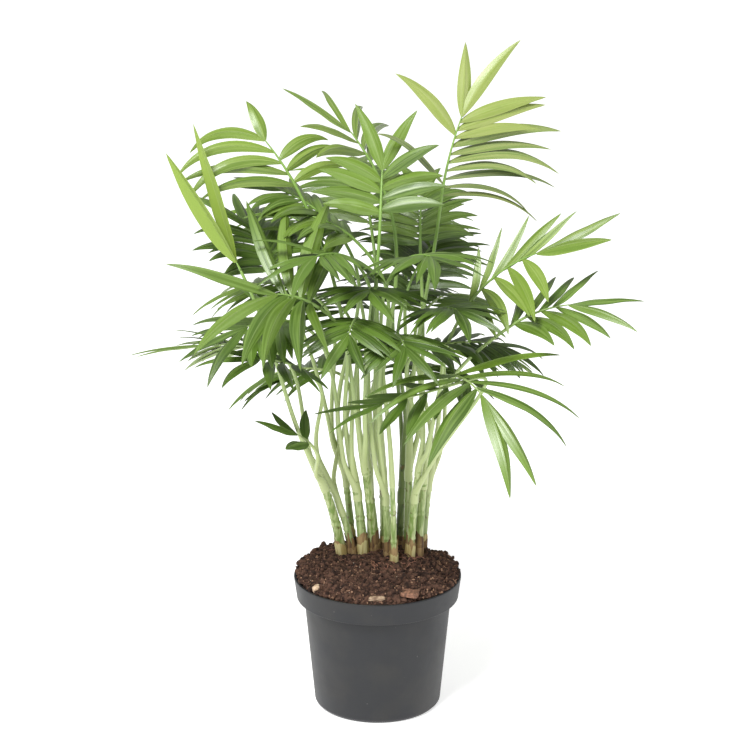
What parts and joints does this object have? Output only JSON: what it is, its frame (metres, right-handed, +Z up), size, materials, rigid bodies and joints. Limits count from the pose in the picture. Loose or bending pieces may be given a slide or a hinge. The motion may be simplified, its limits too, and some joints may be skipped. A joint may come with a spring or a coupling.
{
  "type": "parlour palm in a nursery pot",
  "caption": "Clump of slender pale canes with feathery green fronds, rooted in dark soil in a small round plastic nursery pot with a collar.",
  "frame": {"origin": "centre of the pot's flat underside", "axes": "+Z up along the pot's axis, -Y the plant's front, +X its right-hand side seen from the front"},
  "size_m": [0.3576, 0.3295, 0.4829],
  "materials": {
    "pot": "moulded polypropylene, fine satin grain",
    "soil": "moist crumbly peat compost",
    "stem": "smooth pale green cane with papery brown sheaths",
    "leaf_new": "young waxy leaf, satin",
    "leaf_mid": "waxy leaf with fine lengthwise veins, satin",
    "leaf_deep": "older waxy leaf with fine lengthwise veins, satin"
  },
  "bodies": {
    "root": {"pot": "pot", "soil": "soil", "stem_01": "stem", "stem_02": "stem", "stem_03": "stem", "stem_04": "stem", "stem_05": "stem", "stem_06": "stem", "stem_07": "stem", "stem_08": "stem", "stem_09": "stem", "stem_10": "stem", "stem_11": "stem", "stem_12": "stem", "stem_13": "stem", "stem_14": "stem", "frond_tall_right": "leaf_new", "frond_spear_left": "leaf_new", "frond_far_right": "leaf_mid", "frond_low_right": "leaf_mid", "frond_front_right": "leaf_mid", "frond_front_low": "leaf_deep", "frond_high_left": "leaf_mid", "frond_front_left": "leaf_deep", "frond_low_left": "leaf_deep", "frond_shoot_left": "leaf_deep", "frond_crown_left": "leaf_mid", "frond_crown_front": "leaf_mid", "frond_inner_01": "leaf_deep", "frond_inner_02": "leaf_deep", "frond_inner_03": "leaf_mid", "frond_inner_04": "leaf_mid", "frond_inner_05": "leaf_deep", "frond_inner_06": "leaf_deep", "frond_inner_07": "leaf_deep", "frond_inner_08": "leaf_deep", "frond_inner_09": "leaf_mid", "frond_inner_10": "leaf_deep", "frond_inner_11": "leaf_deep", "frond_inner_12": "leaf_deep", "frond_inner_13": "leaf_deep", "frond_inner_14": "leaf_mid", "frond_back_01": "leaf_mid", "frond_back_02": "leaf_mid", "frond_back_03": "leaf_mid", "frond_back_04": "leaf_deep", "frond_back_05": "leaf_deep", "frond_back_06": "leaf_mid", "frond_back_07": "leaf_mid", "frond_back_08": "leaf_mid", "frond_back_09": "leaf_deep", "frond_back_10": "leaf_deep", "frond_back_11": "leaf_deep"}
  },
  "joints": []
}
